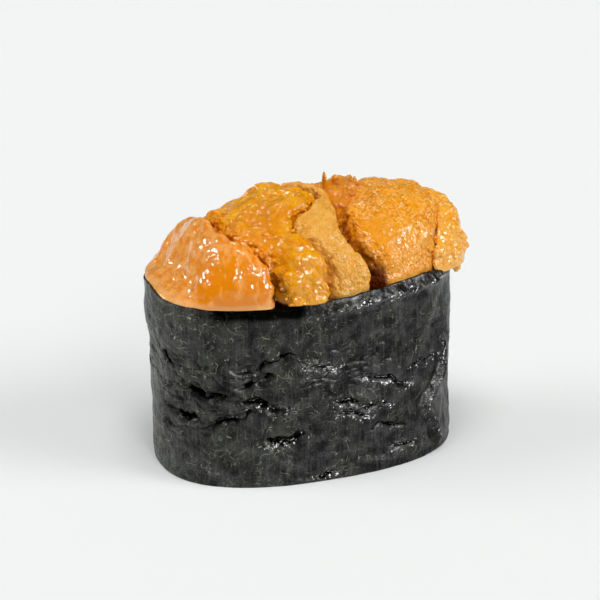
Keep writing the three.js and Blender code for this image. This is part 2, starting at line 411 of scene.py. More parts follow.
world = bpy.data.worlds.new("white studio")
world.use_nodes = True
room = world.node_tree
direction = add_node(room, "ShaderNodeTexCoord").outputs["Generated"]
height = add_node(room, "ShaderNodeSeparateXYZ", inputs={0: direction}).outputs["Z"]
backward = calculate_vector(room, "DOT_PRODUCT", direction, BEHIND)
low_wall = share_of(room, height, WALL_TOP, CEILING_HEIGHT, 1, 0)
lit_wall = calculate(room, "MULTIPLY", low_wall, share_of(room, backward, -0.3, 0.5))
brightness = share_of(room, lit_wall, 0, 1, ROOM_DARK, ROOM_BRIGHT)
set_inputs(room, room.nodes["Background"], {"Color": hex_colour(WORLD_COLOUR), "Strength": brightness})
world.cycles_visibility.glossy = False
bpy.context.scene.world = world
print("room brightness", ROOM_DARK, "to", ROOM_BRIGHT)

# %% [markdown]
# ## The lamps
# A broad lamp almost overhead rakes down the front of the roe, so that every egg shows, and two
# low, broad side lamps lay a soft shadow on each side. These softboxes light but aren't mirrored,
# because each would lie on the wet roe as one wide pale patch. The glints come from small lamps
# that are only mirrored: they give the white sparks on the brine and on the damp rim of the nori,
# and leave the shadows alone.

# %% Lamps
SOFTBOXES = {
    # name: azimuth and elevation of the lamp, strength, angular width in degrees
    "overhead softbox": (-20, 78, 1.52, 32),
    "right softbox": (54, 35, 1.02, 30),
    "left softbox": (-106, 34, 0.82, 34),
    "front softbox": (0, 38, 0.38, 20),
}
GLINTS = {
    # name: azimuth and elevation, angular width in degrees and brightness as mirrored
    "overhead glint": (-20, 78, 6, 26),
    "right glint": (53, 29, 13, 40),
    "front glint": (10, 38, 10, 36),
    "camera glint": (-22, 35, 8, 34),
    "low front glint": (27, 15, 14, 40),
    "left glint": (-112, 40, 5, 34),
    "low left glint": (-138, 24, 8, 40),
    "back glint": (172, 45, 7, 26),
}


def add_lamp(name, azimuth, elevation, strength, width):
    """A lamp as far off as the sun: its angular width makes its shadows soft."""
    lamp = bpy.data.lights.new(name, "SUN")
    lamp.energy = strength
    lamp.angle = np.radians(width)
    lamp_object = bpy.data.objects.new(name, lamp)
    towards = camera_axes(azimuth, elevation)[2]
    lamp_object.matrix_world = Vector(-towards).to_track_quat("-Z", "Y").to_matrix().to_4x4()
    bpy.context.scene.collection.objects.link(lamp_object)
    return lamp_object


for name, settings in SOFTBOXES.items():
    add_lamp(name, *settings).visible_glossy = False
for name, (azimuth, elevation, width, brightness) in GLINTS.items():
    disc = np.pi * np.radians(width / 2) ** 2
    add_lamp(name, azimuth, elevation, brightness * disc, width).visible_diffuse = False
print("softboxes:", len(SOFTBOXES), "glints:", len(GLINTS))

# %% [markdown]
# ## The oval of the band
# Seen from above, a gunkan is a long oval with flattened sides, because the rice was pressed by
# hand. A superellipse has that outline: its power says how square it is. The band flares a little
# from foot to rim, so the half sizes, the power and the middle all change with height.

# %% The oval
band_low, band_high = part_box("nori_band")
BAND_HEIGHT = (band_high.z - band_low.z) / MM
BASE = {"length": 25.5, "width": 15.8, "power": 2.4, "x": 0.0}
RIM = {"length": 26.1, "width": 15.6, "power": 2.25, "x": -0.8}


def oval_at(z):
    """Half length, half width, power and middle of the oval at a height."""
    t = np.clip(z / BAND_HEIGHT, 0, 1)
    length = mix(BASE["length"], RIM["length"], t**3)
    width = mix(BASE["width"], RIM["width"], t)
    return length, width, mix(BASE["power"], RIM["power"], t), mix(BASE["x"], RIM["x"], t**3)


def oval_point(angle, z, offset):
    """A point on the oval, grown by an offset: x and y are powers of the cosine and the sine."""
    length, width, power, x = oval_at(z)
    c, s = np.cos(angle), np.sin(angle)
    along = (length + offset) * np.sign(c) * np.abs(c) ** (2 / power)
    across = (width + offset) * np.sign(s) * np.abs(s) ** (2 / power)
    return np.stack([HEAP_SHIFT + x + along, across, z + 0 * along], axis=-1)


print("band height", round(BAND_HEIGHT, 1), "mm")

# %% [markdown]
# ## Nori: the sheet
# Nori is a felt of shredded seaweed, dried as paper is. Toasted it is crisp, and on damp rice it
# softens: it sinks between the grains, creases along the strip and pleats where it turns the
# corner. The strip is one sheet carried once round the oval, starting under its own end at the
# back. Its section is a thin closed outline, so both faces and the cut edge are real.

# %% The path of the strip
NORI_THICKNESS = 0.35  # a toasted sheet is about 0.2 mm: drawn thicker, as damp nori swells
SEAM_ANGLE = 1.62  # where the strip starts, at the back
OVERLAP = 0.34  # how far it passes its own start, as an angle
NORI_ROWS = 560  # rings along the strip
NORI_RISE = 128  # points of a ring up the outside, down the inside and round each cut edge
NORI_INSIDE = 20
NORI_EDGE = 4
UNDER_GAP = 0.05  # room between the start of the strip and the end that lies over it

fine_angles = np.linspace(SEAM_ANGLE, SEAM_ANGLE + 2 * np.pi + OVERLAP, 4000)
fine_path = oval_point(fine_angles, BAND_HEIGHT / 2, 0.0)
steps = np.linalg.norm(np.diff(fine_path, axis=0), axis=1)
fine_length = np.concatenate([[0], np.cumsum(steps)])
strip_length = fine_length[-1]
along_strip = np.linspace(0, strip_length, NORI_ROWS)
strip_angle = np.interp(along_strip, fine_length, fine_angles)
print("strip", round(strip_length), "x", round(BAND_HEIGHT), "mm")

# %% The section of the sheet
edge_turn = np.linspace(0, np.pi, NORI_EDGE + 2)[1:-1]
half_thickness = NORI_THICKNESS / 2
outside_z = np.linspace(half_thickness, BAND_HEIGHT - half_thickness, NORI_RISE)
inside_z = np.linspace(BAND_HEIGHT - half_thickness, half_thickness, NORI_INSIDE)
section_z = np.concatenate(
    [
        outside_z,
        BAND_HEIGHT - half_thickness + half_thickness * np.sin(edge_turn),
        inside_z,
        half_thickness - half_thickness * np.sin(edge_turn),
    ]
)
section_depth = np.concatenate(
    [
        np.zeros(NORI_RISE),
        -half_thickness * (1 - np.cos(edge_turn)),
        np.full(NORI_INSIDE, -NORI_THICKNESS),
        -half_thickness * (1 + np.cos(edge_turn)),
    ]
)
print("section:", len(section_z), "points,", NORI_THICKNESS, "mm thick")

# %% [markdown]
# The relief of the sheet is a sum of named parts, from the broadest to the finest: swells over
# the rice, a ruffled pleat near the right end, creases that run along the strip where it buckled,
# a crumple everywhere, and a rim rolled over outwards at the front right, where no roe holds it.
# Distances along the strip are counted from the middle of the front.

# %% The relief of the nori
LEVEL_FOOT = 5  # height by which the swells are at full depth
BROAD_SWELL = {"depth": 0.32, "around": 5, "up": 0.21}
CROSS_SWELL = {"around": 2, "up": 0.19, "start": 0.6}
FINE_SWELL = {"depth": 0.19, "around": 11, "up": 0.3, "start": 1.1}
DENT = {"angle": -0.42, "z": 12, "spread_angle": 0.16, "spread_z": 7, "depth": 0.9}
CREASES = [
    # start and end along the strip, height at the start and the end, width, depth, dampness
    (-29.7, -28.2, 22.0, 21.1, 1.0, 0.6, 0.0),
    (-16.5, -10.8, 21.1, 22.4, 0.9, 0.8, 0.2),
    (-11.3, -7.2, 21.9, 23.2, 0.5, 0.5, 0.0),
    (-16.0, -10.9, 18.3, 20.1, 0.7, 0.8, 0.0),
    (-25.8, -18.6, 17.5, 16.2, 0.9, 0.8, 0.1),
    (-15.0, -8.3, 15.6, 14.3, 1.1, 0.8, 0.8),
    (-29.6, -23.2, 13.0, 12.0, 0.9, 0.8, 0.1),
    (-22.0, -14.6, 10.6, 13.6, 0.8, 0.8, 0.3),
    (-11.0, -5.8, 8.6, 8.8, 1.4, 0.8, 0.7),
    (-4.7, 0.9, 21.3, 20.6, 0.4, 0.35, 0.8),
    (5.9, 13.4, 18.7, 14.7, 0.6, 0.5, 0.9),
    (0.7, 9.7, 14.4, 12.2, 0.7, 0.55, 0.8),
    (1.2, 5.1, 12.3, 11.4, 0.5, 0.4, 0.9),
    (15.7, 20.5, 17.5, 17.9, 0.5, 0.4, 0.7),
    (7.0, 12.7, 8.4, 7.8, 0.5, 0.4, 0.1),
    (11.5, 14.5, 4.0, 3.9, 0.5, 0.4, 0.9),
    (-2.5, -0.3, 1.6, 1.6, 0.6, 0.3, 0.7),
]
BUCKLE = {"length": 6.0, "height": 1.5, "depth": 0.3, "middle": 16.0, "spread": 9.5}
CRUMPLE = {"size": 2.8, "depth": 0.17}
RUFFLE_LINE = curve(
    [[0, 21.6], [2.3, 20.8], [5.1, 19.9], [7.2, 18.5], [9.3, 17.2], [11.2, 18.2], [13.5, 20.5],
     [16.2, 22.1], [21.4, 21.8], [26, 22.6]]
)
RUFFLE = {"height": 0.9, "crest": 0.35, "back": 5.0, "top": 23.0}
ROLL = {"start": -5.0, "end": 30.0, "below": 1.5, "height": 1.0, "reach": 0.95}
RIM_RISE = curve(
    [[-38, 0], [-34.5, 0.9], [-31, 0.3], [-28, -0.2], [-22, -0.1], [-6, 0], [0, 0.3], [8, 1.0],
     [20, 1.3], [27, 1.1], [34, 0]]
)
RIM_ZONE = {"start": 20, "height": 12}  # where the rim's own rise and waves grow in
ROE_SHADOW = {"start": -23.0, "end": -1.0, "height": 3.2}  # painted shadow of the roe on the top of the nori


def band_swells(angle, z):
    """Swells over the rows of grains and one broad dent, level at the foot."""
    broad = np.sin(BROAD_SWELL["around"] * angle + BROAD_SWELL["up"] * z)
    cross = np.cos(CROSS_SWELL["up"] * z - CROSS_SWELL["around"] * angle + CROSS_SWELL["start"])
    fine = np.sin(FINE_SWELL["around"] * angle - FINE_SWELL["up"] * z + FINE_SWELL["start"])
    from_dent = angle - DENT["angle"]
    turn = np.arctan2(np.sin(from_dent), np.cos(from_dent)) / DENT["spread_angle"]
    dent = np.exp(-(turn**2) - ((z - DENT["z"]) / DENT["spread_z"]) ** 2)
    relief = BROAD_SWELL["depth"] * broad * cross + FINE_SWELL["depth"] * fine - DENT["depth"] * dent
    return smooth(z / LEVEL_FOOT) * relief


def listed_creases(strip, z):
    """Depth, painted shade and dampness of the creases in the list.

    Each is a line between two points, bent by noise. Its section falls off as a bell of the
    distance from the line, three times as fast above it as below it."""
    flat = np.stack([strip, z, 0 * z], axis=-1)
    bend = 0.7 * swells(flat * (1, 0.3, 0), 2.6, 61, octaves=3)
    torn = 1 + 0.45 * swells(flat, 0.9, 67, octaves=2)
    depth, painted_shade, damp = np.zeros((3, *z.shape))
    for start, end, low, high, width, deep, wet in CREASES:
        share = np.clip((strip - start) / (end - start), 0, 1)
        beyond = np.maximum(np.maximum(start - strip, strip - end), 0)
        thinning = mix(0.45, 1, np.sqrt(4 * share * (1 - share)))
        above = z - mix(low, high, share) - bend
        reach = width * thinning * np.where(above > 0, 0.45, 1.15)
        valley = np.exp(-((above / reach) ** 2) - (beyond / 0.7) ** 2)
        depth = np.maximum(depth, deep * valley)
        # The core of each crease is drawn dark: painted shade.
        core = np.exp(-((above / (0.85 * reach)) ** 2) - (beyond / 0.6) ** 2)
        painted_shade = np.maximum(painted_shade, np.clip(2.6 * core * torn - 0.5, 0, 1))
        lip = np.exp(-(((above + 0.8 * width) / 0.7) ** 2) - (beyond / 1.2) ** 2)
        damp = np.maximum(damp, wet * lip)
    return depth, painted_shade, damp


def buckles(strip, z):
    """Many short, shallow creases: noise stretched along the strip and folded at its zero line."""
    flat = np.stack([strip / BUCKLE["length"], z / BUCKLE["height"], 0 * z], axis=-1)
    drift = 0.9 * swells(flat * (1.5, 0.3, 1), 1.0, 31, octaves=2)
    field = swells(flat + np.stack([0 * z, drift, 0 * z], axis=-1), 1.0, 11, octaves=3)
    valley = np.clip(1 - np.abs(field) / 0.3, 0, 1) ** 1.5
    patch = smooth(2.0 * swells(flat * (0.7, 0.25, 1), 1.0, 23) + 0.5)
    belt = np.exp(-(((z - BUCKLE["middle"]) / BUCKLE["spread"]) ** 4))
    return valley * patch * belt


def ruffle(strip, z):
    """Relief and dampness of the loose pleat: a sharp crest along a wavy line, easing off behind."""
    behind = strip - RUFFLE_LINE(z)
    crest = np.exp(-((behind / RUFFLE["crest"]) ** 2))
    slope = smooth(behind / RUFFLE["crest"] + 1) * smooth(1 - behind / RUFFLE["back"])
    valley = np.exp(-(((behind + 1.1) / 0.7) ** 2))
    window = smooth(z / 3) * smooth((RUFFLE["top"] - z) / 6)
    relief = RUFFLE["height"] * window * (0.5 * crest + 0.6 * slope - 0.35 * valley)
    return relief, 0.7 * window * np.exp(-(((behind - 0.2) / 0.5) ** 2))


def roll(strip, z):
    """How far the rim rolls out over the front right: a bell about a line just below it."""
    window = smooth((strip - ROLL["start"]) / 6) * smooth((ROLL["end"] - strip) / 6)
    return window * np.exp(-(((z - BAND_HEIGHT + ROLL["below"]) / ROLL["height"]) ** 2))


# %% The strip as a mesh
angle, z = np.meshgrid(strip_angle, section_z, indexing="ij")
front_middle = np.interp(1.5 * np.pi, fine_angles, fine_length)
strip = np.repeat(along_strip[:, None], len(section_z), axis=1) - front_middle
depth = np.repeat(section_depth[None, :], NORI_ROWS, axis=0)
flat = np.stack([strip, z, 0 * z], axis=-1)
started = smooth((angle - SEAM_ANGLE - OVERLAP) / 0.12)
under_end = -(1 - started) * (NORI_THICKNESS + UNDER_GAP)
crease_depth, painted_shade, damp = listed_creases(strip, z)
buckle = buckles(strip, z)
crumple = CRUMPLE["depth"] * swells(flat, CRUMPLE["size"], 41, octaves=4)
rolled = roll(strip, z)
rim_crumple = rolled * 0.45 * swells(flat, 1.5, 71, octaves=3)
ruffle_relief, ruffle_shine = ruffle(strip, z)
relief = band_swells(angle, z) + ruffle_relief - crease_depth - BUCKLE["depth"] * buckle
relief = relief + crumple + ROLL["reach"] * rolled + rim_crumple
ends = smooth((strip + front_middle) / 2) * smooth((strip_length - front_middle - strip) / 2)
near_foot = smooth(z / 1.5)
offset = depth + under_end + relief * mix(0.4, 1, ends) * mix(0.3, 1, near_foot)
top_share = smooth((z - RIM_ZONE["start"]) / RIM_ZONE["height"])
wavy_rim = 0.2 * swells(flat * (1, 0, 0), 5.0, 51, octaves=4)
rings = oval_point(angle, z, offset)
rim_rise = RIM_RISE(strip) * top_share
rings[..., 2] = np.maximum(z + wavy_rim * top_share + rim_rise, 0)
# Painted shadow of the roe: the top of the nori under the overhanging roe is drawn dark.
roe_shadow = smooth((strip - ROE_SHADOW["start"]) / 5) * smooth((ROE_SHADOW["end"] - strip) / 5)
roe_shadow = roe_shadow * smooth((z - BAND_HEIGHT + ROE_SHADOW["height"]) / 1.5 + 0.3 * swells(flat, 3.0, 77))
damp = np.maximum(np.maximum(damp, rolled), ruffle_shine)
# Painted shade: the creases and the buckles are drawn dark, and so is the top of the rim in the roe's
# shadow.
nori_values = {"painted_shade": np.maximum(painted_shade, 0.6 * buckle), "damp": damp, "roe_shadow": roe_shadow}
print("relief of the nori, mm:", relief.min().round(2), "to", relief.max().round(2))


def with_end_values(values):
    """Numbers for each vertex of a skin, its two end points taking the mean of their rings."""
    return np.concatenate([[values[0].mean()], values.ravel(), [values[-1].mean()]])


nori_vertices = with_ends(rings, rings[0].mean(axis=0), rings[-1].mean(axis=0))
nori_quads, nori_fans = outward(nori_vertices, *skin_faces(*rings.shape[:2]))
nori_values = {label: with_end_values(value) for label, value in nori_values.items()}

# %% [markdown]
# ## Nori: the finish
# Toasted nori is nearly black, with an olive cast where the felt is thin. Its surface is a thin
# glossy skin over fibres, so it looks grey where it mirrors a lamp. In every crease and in the shade
# that the roe casts on the rim, painted shade makes it black. The fibres are short curled hairs of
# about 0.1 mm. The level lines of a noise are curls of just that kind, so a hair is drawn where the
# noise is close to its middle value, and a second noise breaks the lines up. Brushed streaks run up
# the sheet, as it was dried on a ribbed screen. It is painted paler towards the left, a painted
# sheen, and mirrors more there. Damp parts carry a film that breaks the lamps into sparks: small
# flat facets tip its normal at random, and mostly up, towards the lamps.

# %% Nori finish
NORI_BLACK = "090A09"
NORI_GREY = "1B1D1A"
NORI_OLIVE = "32342A"
FIBRE_COLOUR = "96987F"
FIBRE_CURLS = (
    # size of the curls, and half the width of a hair as a share of the noise's range
    (3.4 * MM, 0.006),
    (2.1 * MM, 0.008),
    (1.3 * MM, 0.01),
)
FELT_GRAIN = 0.35 * MM
FELT_DEPTH = 0.1 * MM
MOTTLE = 2.2 * MM
MOTTLE_DEPTH = 0.3 * MM
OLIVE_PATCH = 4.5 * MM
DROP_SIZE = 0.9 * MM
PAINTED_SHADE_BLACK = "020202"
BRUSH_WIDTH = 0.4 * MM
BRUSH_LENGTH = 7 * MM
SHEEN_SLOPE = 3.0  # rise of the noise per metre to the left: a painted sheen, paler to the left
FACET_SIZE = 0.4 * MM
FACET_TILT = 0.55


def blend(tree, factor, first, second):
    """A mix of two colours, each a hex value or another node's output."""
    first, second = (hex_colour(c) if isinstance(c, str) else c for c in (first, second))
    inputs = {"Factor": factor, "A": first, "B": second}
    return add_node(tree, "ShaderNodeMix", {"data_type": "RGBA"}, inputs).outputs["Result"]


def mapped(tree, place, location=(0, 0, 0), scale=(1, 1, 1)):
    """A place stretched and then moved, so that a pattern is drawn out or starts elsewhere."""
    inputs = {"Vector": place, "Location": location, "Scale": scale}
    return add_node(tree, "ShaderNodeMapping", inputs=inputs).outputs["Vector"]


def carried(tree, label):
    """A number that the mesh carries for each of its points."""
    return add_node(tree, "ShaderNodeAttribute", {"attribute_name": label}).outputs["Fac"]


def facets(tree, place, size, tilt):
    """A normal that tips at random, and mostly up, from one small flat cell to the next."""
    cells = add_node(tree, "ShaderNodeTexVoronoi", inputs={"Vector": place, "Scale": 1 / size})
    centred = calculate_vector(tree, "SUBTRACT", cells.outputs["Color"], (0.5, 0.5, -0.4))
    normal = add_node(tree, "ShaderNodeNewGeometry").outputs["Normal"]
    tipped = calculate_vector(tree, "MULTIPLY_ADD", centred, (tilt,) * 3, normal)
    return calculate_vector(tree, "NORMALIZE", tipped)


def fibres(tree, place):
    """1 on a hair and 0 beside it: the broken level lines of one noise for each size of curl."""
    hairs = 0.0
    for number, (size, width) in enumerate(FIBRE_CURLS):
        own_place = mapped(tree, place, (0.1 * number, 0.2, 0.3))
        from_middle = calculate(tree, "SUBTRACT", noise(tree, own_place, size, 1.5), 0.5)
        line = share_of(tree, calculate(tree, "ABSOLUTE", from_middle, 0), width, 0.3 * width)
        broken = share_of(tree, noise(tree, own_place, 0.8 * size, 2), 0.5, 0.6)
        hairs = calculate(tree, "MAXIMUM", calculate(tree, "MULTIPLY", line, broken), hairs)
    return hairs


# %% Nori material
def nori_material():
    """Toasted nori: a dry black felt with a glossy skin, damp where roe or rice wet it."""
    material, tree, shader = new_material("toasted nori")
    place = object_place(tree)
    painted_shade, damp, roe_shadow = (carried(tree, label) for label in ("painted_shade", "damp", "roe_shadow"))
    along = add_node(tree, "ShaderNodeSeparateXYZ", inputs={0: place}).outputs["X"]
    # Painted sheen: the sheet is drawn paler, and mirrors more, towards the left.
    painted_left_sheen = calculate(tree, "MULTIPLY", along, -SHEEN_SLOPE)
    felt = noise(tree, place, FELT_GRAIN, 5)
    mottle = noise(tree, place, MOTTLE, 6)
    mottle_and_sheen = calculate(tree, "ADD", mottle, painted_left_sheen)
    patches = calculate(tree, "ADD", noise(tree, place, OLIVE_PATCH, 4), painted_left_sheen)
    stretched = mapped(tree, place, scale=(1 / BRUSH_WIDTH, 1 / BRUSH_WIDTH, 1 / BRUSH_LENGTH))
    brushed = noise(tree, stretched, 1.0, 3)

    # Base colour: random mottle plus the painted sheen to the left, from black to grey.
    grey = blend(tree, share_of(tree, mottle_and_sheen, 0.42, 0.62), NORI_BLACK, NORI_GREY)
    olive = blend(tree, share_of(tree, patches, 0.5, 0.7, 0, 0.6), grey, NORI_OLIVE)
    clusters = share_of(tree, patches, 0.4, 0.6, 0.15, 0.9)
    haired = blend(tree, calculate(tree, "MULTIPLY", fibres(tree, place), clusters), olive, FIBRE_COLOUR)
    # Painted shade: the creases and the rim in the roe's shadow are drawn black and mirror less.
    all_painted_shade = calculate(tree, "MAXIMUM", painted_shade, calculate(tree, "MULTIPLY", roe_shadow, 0.85))

    streaks = share_of(tree, brushed, 0.5, 0.65, 0, 0.25)
    rubbed = calculate(tree, "ADD", share_of(tree, mottle_and_sheen, 0.36, 0.66, 0.13, 0.48), streaks)
    glossy = calculate(tree, "MULTIPLY", rubbed, share_of(tree, felt, 0.35, 0.65, 0.6, 1.35))
    drops = share_of(tree, noise(tree, place, DROP_SIZE, 3), 0.34, 0.46)
    wetted = calculate(tree, "MULTIPLY", damp, drops)
    finish = {
        "Base Color": blend(tree, all_painted_shade, haired, PAINTED_SHADE_BLACK),
        "Roughness": share_of(tree, felt, 0.3, 0.7, 0.42, 0.26),
        "IOR": 1.5,
        "Specular IOR Level": calculate(tree, "MULTIPLY", glossy, share_of(tree, all_painted_shade, 0, 0.8, 1, 0)),
        "Normal": bumped(tree, mottle, 0.6, MOTTLE_DEPTH, bumped(tree, felt, 0.5, FELT_DEPTH)),
        "Coat Weight": calculate(tree, "MULTIPLY", wetted, share_of(tree, all_painted_shade, 0, 1, 1, 0.4)),
        "Coat Roughness": 0.1,
        "Coat IOR": 1.6,
        "Coat Normal": facets(tree, place, FACET_SIZE, FACET_TILT),
    }
    set_inputs(tree, shader, finish)
    return material


nori = add_piece("nori_strip", nori_vertices, nori_quads, nori_fans, nori_material(), nori_values)
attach(nori, "root")
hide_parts("nori_band")

# %% [markdown]
# ## Rice
# The rice is pressed by hand into a block, and each grain keeps its shape. Only the layers that
# can be seen are worth making: the underside, and the top where it shows between the lobes. One
# plump grain is worked out once, then copied with numpy to every place at once, and a smooth
# core fills the block behind the grains.

# %% Rice shapes
rice_low, rice_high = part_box("rice_bed")
RICE_TOP = (rice_high.z - rice_low.z) / MM
RICE_INSET = 1.8
RICE_CORE = {"bottom": 1.2, "below_top": 1.0, "inset": 0.6}
BOTTOM_LAYER_INSET = 1.2
TOP_LAYER = {"below_top": 1.2, "inset": 1.6}
GRAIN = {"length": 3.3, "width": 1.5, "height": 1.3}  # half sizes
GRAIN_ROWS, GRAIN_COLUMNS = 7, 10
RICE_PITCH = 2.9
ROW_SHARE = 0.72  # the rows lie closer than the grains in a row
RICE_REACH = (27, 17)
PLACE_JITTER = 0.8
HEIGHT_JITTER = 0.25
DISC_ROWS, BLOCK_COLUMNS = 5, 96
random = np.random.default_rng(7)


def block_skin(low, high, inset):
    """A block with the oval's outline: a disc, the wall and a disc, all as rings."""
    turn = 2 * np.pi * np.arange(BLOCK_COLUMNS) / BLOCK_COLUMNS
    size = np.concatenate([np.linspace(0.25, 1, DISC_ROWS), np.linspace(1, 0.25, DISC_ROWS)])
    height = np.repeat([low, high], DISC_ROWS)
    outline = oval_point(turn[None, :], height[:, None], -inset)
    centre = np.array([HEAP_SHIFT, 0, 0])
    rings = centre + (outline - centre) * np.stack([size, size, 0 * size + 1], axis=-1)[:, None, :]
    vertices = with_ends(rings, rings[0].mean(axis=0), rings[-1].mean(axis=0))
    return vertices, *outward(vertices, *skin_faces(*rings.shape[:2]))


def grain_skin():
    """One plump grain along x: an ellipsoid, a little thicker at one end."""
    polar = np.pi * np.arange(1, GRAIN_ROWS + 1) / (GRAIN_ROWS + 1)
    turn = 2 * np.pi * np.arange(GRAIN_COLUMNS) / GRAIN_COLUMNS
    body = np.sin(polar) ** 0.8 * (1 + 0.12 * np.cos(polar))
    rings = np.stack(
        [
            np.repeat(-np.cos(polar)[:, None], GRAIN_COLUMNS, axis=1),
            body[:, None] * np.cos(turn),
            body[:, None] * np.sin(turn),
        ],
        axis=-1,
    )
    radii = (GRAIN["length"], GRAIN["width"], GRAIN["height"])
    vertices = with_ends(rings, (-1, 0, 0), (1, 0, 0)) * radii
    return vertices, *outward(vertices, *skin_faces(GRAIN_ROWS, GRAIN_COLUMNS))


def turned(vertices, yaw, pitch):
    """Every vertex of one shape, turned about y and then z, once for each pair of angles."""
    cy, sy, cp, sp = np.cos(yaw), np.sin(yaw), np.cos(pitch), np.sin(pitch)
    zero = 0 * yaw
    rows = [[cy * cp, -sy, cy * sp], [sy * cp, cy, sy * sp], [-sp, zero, cp]]
    matrices = np.array([[entry + zero for entry in row] for row in rows])
    return np.einsum("ijn,vj->nvi", matrices, vertices)


def joined(skins):
    """Several (vertices, quads, fans) as one, with the corner numbers moved on."""
    starts = np.cumsum([0] + [len(v) for v, _, _ in skins[:-1]])
    vertices = np.concatenate([v for v, _, _ in skins])
    quads = np.concatenate([q + s for (_, q, _), s in zip(skins, starts)])
    fans = np.concatenate([f + s for (_, _, f), s in zip(skins, starts)])
    return vertices, quads, fans


def copies(skin, places, yaw, pitch, sizes):
    """Copies of one skin at many places, joined."""
    vertices, quads, fans = skin
    moved = turned(vertices, yaw, pitch) * sizes[:, None, None] + places[:, None, :]
    starts = np.arange(len(places))[:, None, None] * len(vertices)
    all_quads = (quads[None] + starts).reshape(-1, 4)
    all_fans = (fans[None] + starts).reshape(-1, 3)
    return moved.reshape(-1, 3), all_quads, all_fans


def layer_places(height, inset):
    """Grain centres on a jittered grid inside the oval, at one height."""
    reach_x, reach_y = RICE_REACH
    along = np.arange(-reach_x, reach_x, RICE_PITCH)
    x, y = np.meshgrid(along, np.arange(-reach_y, reach_y, RICE_PITCH * ROW_SHARE))
    jitter = random.uniform(-PLACE_JITTER, PLACE_JITTER, (2, *x.shape))
    x, y = x + jitter[0], y + jitter[1]
    length, width, power, _ = oval_at(height)
    inside = np.abs(x / (length - inset)) ** power + np.abs(y / (width - inset)) ** power < 1
    z = height + random.uniform(-HEIGHT_JITTER, HEIGHT_JITTER, x.shape)
    return np.stack([x + HEAP_SHIFT, y, z], axis=-1)[inside]


# %% Rice material and mesh
RICE_CLOUD = 2.5 * MM
RICE_GRAIN_DEPTH = 0.1 * MM
RICE_DIM = "E6E2D3"
RICE_BRIGHT = "F7F5EC"


def rice_material():
    """Cooked short-grain rice: moist, glossy starch that lets light a little way in."""
    material, tree, shader = new_material("cooked rice")
    cloud = noise(tree, object_place(tree), RICE_CLOUD)
    finish = {
        "Base Color": blend(tree, cloud, RICE_DIM, RICE_BRIGHT),
        "Roughness": 0.32,
        "Normal": bumped(tree, cloud, 0.2, RICE_GRAIN_DEPTH),
        "Subsurface Weight": 0.5,
        "Subsurface Radius": (1.0, 0.9, 0.7),
        "Subsurface Scale": 0.8 * MM,
    }
    set_inputs(tree, shader, finish)
    return material


bottom_layer = layer_places(GRAIN["height"] + HEIGHT_JITTER, RICE_INSET + BOTTOM_LAYER_INSET)
top_layer = layer_places(RICE_TOP - TOP_LAYER["below_top"], RICE_INSET + TOP_LAYER["inset"])
places = np.concatenate([bottom_layer, top_layer])
count = len(places)
yaw = random.uniform(0, np.pi, count)
pitch = random.uniform(-0.12, 0.12, count)
sizes = random.uniform(0.86, 1.0, count)
core = block_skin(RICE_CORE["bottom"], RICE_TOP - RICE_CORE["below_top"], RICE_INSET + RICE_CORE["inset"])
rice_skin = joined([core, copies(grain_skin(), places, yaw, pitch, sizes)])
rice = add_piece("rice_block", *rice_skin, rice_material())
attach(rice, "root")
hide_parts("rice_bed")
print(count, "grains of rice")

# %% [markdown]
# ## Roe: where the lobes lie
# The gonads of a sea urchin are five soft tongues. Here six pieces of them lie side by side across
# the band, so each fills the space between two clefts. A cleft is a curve over the heap, and a
# lobe is a block with round edges whose sides are bent to follow its two clefts. Its top follows
# a crest of its own, and at the rim it swells out over the edge of the nori.

# %% Clefts
CLEFTS = {
    # share of the way along the band, from -1 to 1, for a share of the way from front to back
    "left_end": curve([[-1, -0.93], [1, -0.93]]),
    "left_middle": curve(
        [[-1, -0.307], [-0.88, -0.322], [-0.82, -0.347], [-0.75, -0.392], [-0.62, -0.437], [-0.55, -0.497],
         [-0.34, -0.532], [-0.17, -0.547], [0.07, -0.547], [1, -0.542]]
    ),
    "middle_fold": curve(
        [[-1, 0.03], [-0.88, 0.005], [-0.83, -0.02], [-0.77, -0.05], [-0.69, -0.11], [-0.58, -0.14],
         [-0.47, -0.13], [-0.36, -0.04], [-0.23, 0.05], [-0.07, 0.12], [0.13, 0.13], [0.4, 0.04],
         [1, -0.1]]
    ),
    "fold_right": curve(
        [[-1, 0.32], [-0.9, 0.3], [-0.82, 0.25], [-0.73, 0.215], [-0.62, 0.19], [-0.44, 0.19],
         [-0.18, 0.215], [0.13, 0.2], [0.4, 0.17], [1, 0.08]]
    ),
    "back_right": curve(
        [[-1, 0.34], [-0.9, 0.325], [-0.82, 0.28], [-0.73, 0.245], [-0.62, 0.22], [-0.44, 0.215],
         [-0.18, 0.245], [0.08, 0.33], [0.3, 0.41], [1, 0.49]]
    ),
    "right_tail": curve(
        [[-1, 0.75], [-0.86, 0.8], [-0.78, 0.83], [-0.53, 0.88], [-0.33, 0.89], [0.2, 0.86], [1, 0.75]]
    ),
    "right_end": curve([[-1, 0.93], [1, 0.93]]),
}
print("clefts:", len(CLEFTS))

